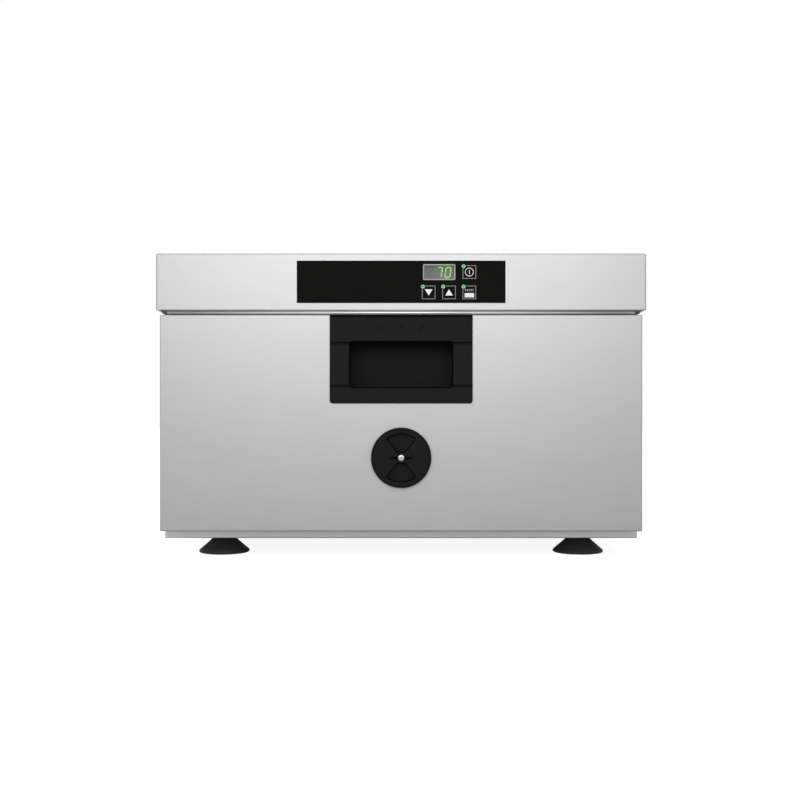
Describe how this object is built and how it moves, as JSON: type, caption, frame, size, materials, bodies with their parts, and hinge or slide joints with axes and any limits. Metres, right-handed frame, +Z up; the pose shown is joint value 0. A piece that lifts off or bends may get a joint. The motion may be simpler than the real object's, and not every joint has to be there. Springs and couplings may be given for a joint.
{
  "type": "countertop warming drawer",
  "caption": "Low stainless steel cabinet with a hood-mounted control panel over a deep insulated drawer that holds a food pan, with a recessed handle and a turning humidity vent.",
  "frame": {"origin": "on the floor under the middle of the whole object", "axes": "+Z up, +Y to the back, the drawer front faces -Y, +X to the right as seen from the front"},
  "size_m": [0.425, 0.6334, 0.2647],
  "materials": {
    "black_plastic": "moulded, fine matt grain",
    "black_rubber": "moulded rubber",
    "brushed_steel": "brushed stainless steel sheet, fine horizontal grain",
    "circuit_board": "glass-fibre board with a green mask",
    "clear_window": "clear polished window",
    "digit_green": "lit green bars",
    "display_grey": "grey filled resin",
    "galvanised_steel": "galvanised steel sheet",
    "lamp_green": "clear green light guide",
    "mineral_wool": "mineral wool",
    "panel_black": "printed polyester film, satin",
    "satin_steel": "satin stainless steel",
    "silicone_grey": "silicone rubber",
    "silicone_red": "silicone rubber",
    "silver_trim": "silver-lacquered moulding",
    "slide_steel": "rolled stainless steel",
    "steel_fastener": "turned stainless steel",
    "switch_plastic": "moulded",
    "transformer_iron": "laminated iron with a wound bobbin",
    "white_plastic": "moulded nylon"
  },
  "bodies": {
    "cabinet": {"base_tray": "brushed_steel", "board_studs": "steel_fastener", "bonding_stud": "steel_fastener", "cable_gland": "black_plastic", "chamber_insulation": "mineral_wool", "chamber_liner": "satin_steel", "control_board": "circuit_board", "control_floor": "galvanised_steel", "control_panel": "panel_black", "cover_screws": "steel_fastener", "display_bezel": "silver_trim", "display_digits": "digit_green", "display_module": "display_grey", "display_window": "clear_window", "feet": "black_rubber", "foot_screws": "steel_fastener", "front_frame": "brushed_steel", "gland_locknut": "black_plastic", "heating_cable": "silicone_red", "hood_cover": "brushed_steel", "key_lamps": "lamp_green", "key_switches": "switch_plastic", "power_board": "circuit_board", "rear_panel": "brushed_steel", "safety_thermostat": "black_plastic", "side_panel_left": "brushed_steel", "side_panel_right": "brushed_steel", "slide_outer_left": "slide_steel", "slide_outer_right": "slide_steel", "slide_rivets": "steel_fastener", "temperature_probe": "satin_steel", "terminal_block": "white_plastic", "transformer": "transformer_iron"},
    "drawer": {"drawer_front_skin": "brushed_steel", "drawer_inner_skin": "brushed_steel", "drawer_insulation": "mineral_wool", "drawer_gasket": "silicone_grey", "drawer_frame": "satin_steel", "frame_screws": "steel_fastener", "rail_screws": "steel_fastener", "gastronorm_pan": "satin_steel", "handle": "black_plastic", "handle_clamps": "galvanised_steel", "handle_screws": "steel_fastener", "vent_base": "black_plastic", "vent_pin": "steel_fastener", "vent_sleeve": "satin_steel", "vent_inner_grille": "black_plastic", "slide_inner_right": "slide_steel", "slide_inner_left": "slide_steel"},
    "slide_middle_left": {"slide_middle_left": "slide_steel"},
    "slide_middle_right": {"slide_middle_right": "slide_steel"},
    "outer_ball_cages": {"outer_ball_cages": "slide_steel"},
    "inner_ball_cages": {"inner_ball_cages": "slide_steel"},
    "vent_disc": {"vent_disc": "black_plastic"},
    "key_power": {"key_power": "panel_black"},
    "key_down": {"key_down": "panel_black"},
    "key_up": {"key_up": "panel_black"},
    "key_start_stop": {"key_start_stop": "panel_black"}
  },
  "joints": [
    {"name": "drawer_slide", "type": "slide", "parent": "cabinet", "child": "drawer", "axis": [0, -1, 0], "range_m": [0, 0.55]},
    {"name": "left_middle_slide", "type": "slide", "parent": "cabinet", "child": "slide_middle_left", "axis": [0, -1, 0], "range_m": [0, 0.275]},
    {"name": "right_middle_slide", "type": "slide", "parent": "cabinet", "child": "slide_middle_right", "axis": [0, -1, 0], "range_m": [0, 0.275]},
    {"name": "outer_cage_roll", "type": "slide", "parent": "cabinet", "child": "outer_ball_cages", "axis": [0, -1, 0], "range_m": [0, 0.1375]},
    {"name": "inner_cage_roll", "type": "slide", "parent": "cabinet", "child": "inner_ball_cages", "axis": [0, -1, 0], "range_m": [0, 0.4125]},
    {"name": "vent_turn", "type": "hinge", "parent": "drawer", "child": "vent_disc", "pos_m": [0, -0.31425, 0.0878], "axis": [0, 1, 0], "range_deg": [0, 90]},
    {"name": "key_power_press", "type": "slide", "parent": "cabinet", "child": "key_power", "axis": [0, 1, 0], "range_m": [0, 0.0005], "stiffness_N_per_m": 2000},
    {"name": "key_down_press", "type": "slide", "parent": "cabinet", "child": "key_down", "axis": [0, 1, 0], "range_m": [0, 0.0005], "stiffness_N_per_m": 2000},
    {"name": "key_up_press", "type": "slide", "parent": "cabinet", "child": "key_up", "axis": [0, 1, 0], "range_m": [0, 0.0005], "stiffness_N_per_m": 2000},
    {"name": "key_start_stop_press", "type": "slide", "parent": "cabinet", "child": "key_start_stop", "axis": [0, 1, 0], "range_m": [0, 0.0005], "stiffness_N_per_m": 2000}
  ],
  "couplings": [
    {"joint": "left_middle_slide", "follows": "drawer_slide", "ratio": 0.5},
    {"joint": "right_middle_slide", "follows": "drawer_slide", "ratio": 0.5},
    {"joint": "outer_cage_roll", "follows": "drawer_slide", "ratio": 0.25},
    {"joint": "inner_cage_roll", "follows": "drawer_slide", "ratio": 0.75}
  ]
}
